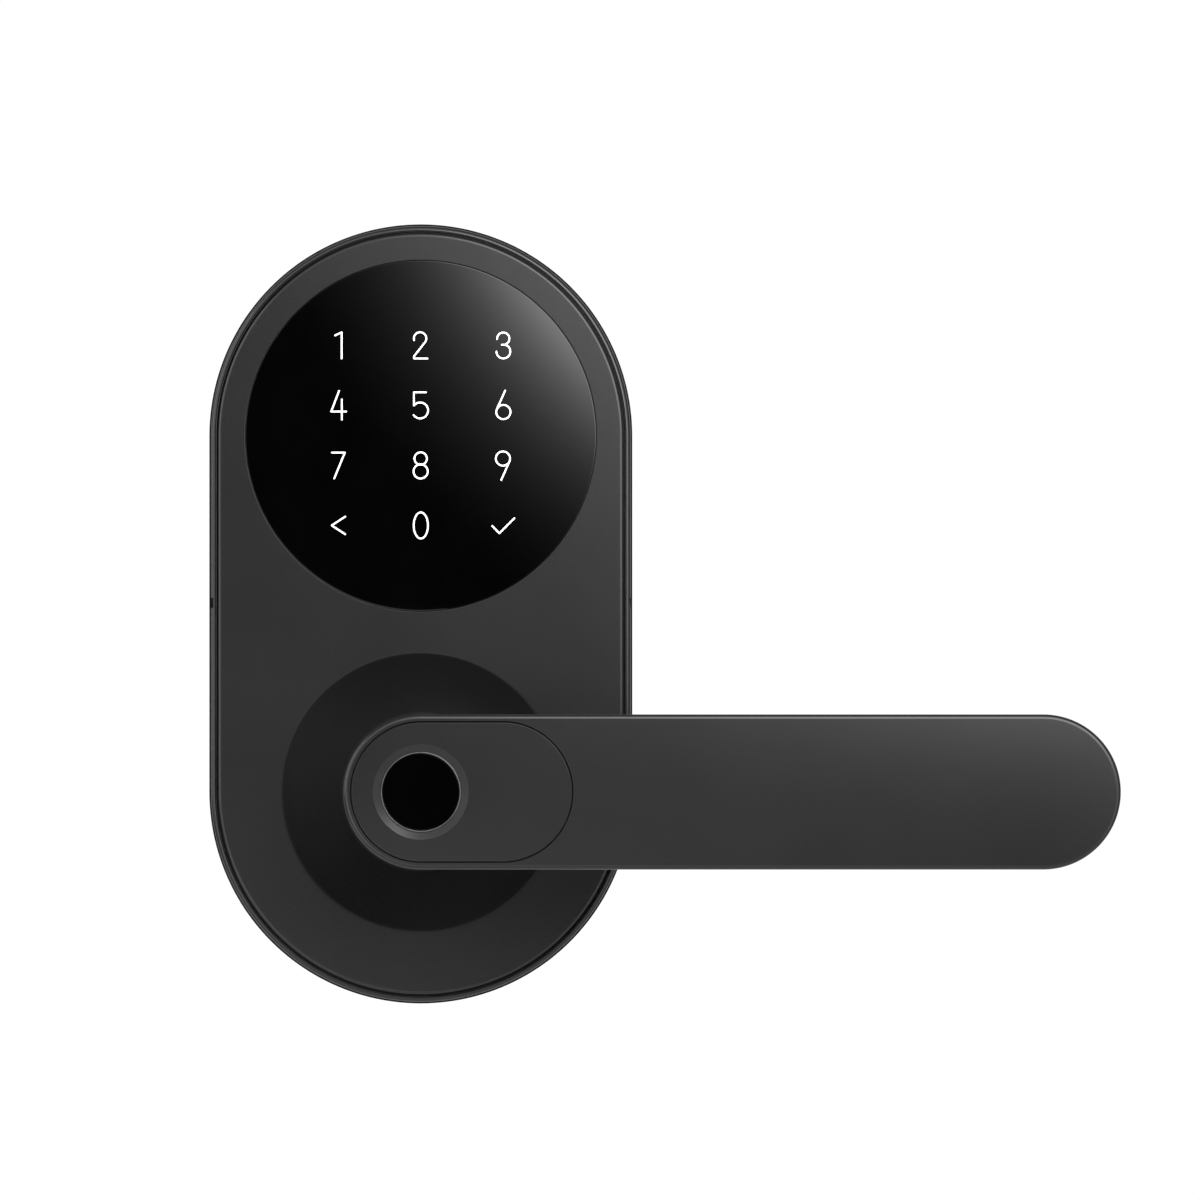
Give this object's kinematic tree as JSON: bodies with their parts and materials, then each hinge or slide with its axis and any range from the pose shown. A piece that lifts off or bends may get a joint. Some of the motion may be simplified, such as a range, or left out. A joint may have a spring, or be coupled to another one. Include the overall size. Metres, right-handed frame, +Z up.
{
  "type": "keypad smart lock",
  "caption": "Outside unit of a keypad smart lock: an upright stadium case with a round black glass keypad and a turning lever that holds a fingerprint sensor.",
  "frame": {"origin": "where the spindle's axis crosses the door's face, midway between the two mounting posts", "axes": "+X along the lever towards its tip, +Z up towards the keypad, +Y into the door along the spindle; the keypad faces -Y"},
  "size_m": [0.1638, 0.1145, 0.14],
  "materials": {
    "case_paint": "fine-grained satin charcoal paint",
    "lever_paint": "fine-grained satin charcoal paint",
    "black_glass": "polished black glass, slightly domed",
    "sensor_glass": "polished black",
    "legend_light": "lit white print",
    "black_rubber": "matt",
    "black_plastic": "matt moulded",
    "white_plastic": "moulded",
    "circuit_board": "green solder mask",
    "plated_steel": "zinc plated",
    "screw_steel": "zinc plated",
    "spindle_steel": "drawn and plated",
    "spring_steel": "polished wire",
    "bright_metal": "bright",
    "brass": "machined"
  },
  "bodies": {
    "case": {"door_gasket": "black_rubber", "back_plate": "plated_steel", "side_band": "case_paint", "front_panel": "case_paint", "keypad_glass": "black_glass", "glass_adhesive": "black_plastic", "key_legends": "legend_light", "light_mask": "black_plastic", "light_diffusers": "white_plastic", "key_leds": "white_plastic", "keypad_board": "circuit_board", "board_chips": "black_plastic", "buzzer": "black_plastic", "board_sockets": "white_plastic", "board_screws": "screw_steel", "case_screws": "screw_steel", "neck_bush": "black_plastic", "spring_cage": "plated_steel", "cage_screws": "screw_steel", "return_spring": "spring_steel", "mounting_posts": "plated_steel", "cable_grommet": "black_rubber", "clutch_motor": "bright_metal", "motor_bracket": "plated_steel", "bracket_screws": "screw_steel", "fork_guide_pin": "bright_metal", "port_socket": "bright_metal", "port_board": "circuit_board", "port_cover": "black_rubber"},
    "lever": {"lever_handle": "lever_paint", "face_plate": "lever_paint", "plate_adhesive": "black_plastic", "fingerprint_sensor": "sensor_glass", "sensor_ring": "bright_metal", "sensor_board": "circuit_board", "sensor_lead": "black_plastic", "drive_hub": "plated_steel", "hub_grub_screw": "screw_steel"},
    "spindle": {"spindle": "spindle_steel", "spindle_collar": "plated_steel"},
    "clutch_plate": {"clutch_plate": "spindle_steel"},
    "clutch_fork": {"clutch_fork": "white_plastic"},
    "motor_screw": {"motor_screw": "brass"}
  },
  "joints": [
    {"name": "lever_turn", "type": "hinge", "parent": "case", "child": "lever", "pos_m": [0, 0, 0], "axis": [0, 1, 0], "range_deg": [-45, 45], "stiffness_Nm_per_rad": 3, "springref_deg": -2.29, "deforming": ["return_spring"]},
    {"name": "spindle_turn", "type": "hinge", "parent": "case", "child": "spindle", "pos_m": [0, 0, 0], "axis": [0, 1, 0], "range_deg": [-45, 45]},
    {"name": "clutch_slide", "type": "slide", "parent": "case", "child": "clutch_fork", "axis": [0, 1, 0], "range_m": [0, 0.0022]},
    {"name": "plate_slide", "type": "slide", "parent": "spindle", "child": "clutch_plate", "axis": [0, 1, 0], "range_m": [0, 0.0022]},
    {"name": "screw_turn", "type": "hinge", "parent": "case", "child": "motor_screw", "pos_m": [0, 0, 0.027], "axis": [0, 1, 0], "range_deg": [0, 720]}
  ],
  "couplings": [
    {"joint": "spindle_turn", "follows": "lever_turn", "ratio": 1},
    {"joint": "plate_slide", "follows": "clutch_slide", "ratio": 1},
    {"joint": "screw_turn", "follows": "clutch_slide", "rad_per_m": 5711}
  ]
}
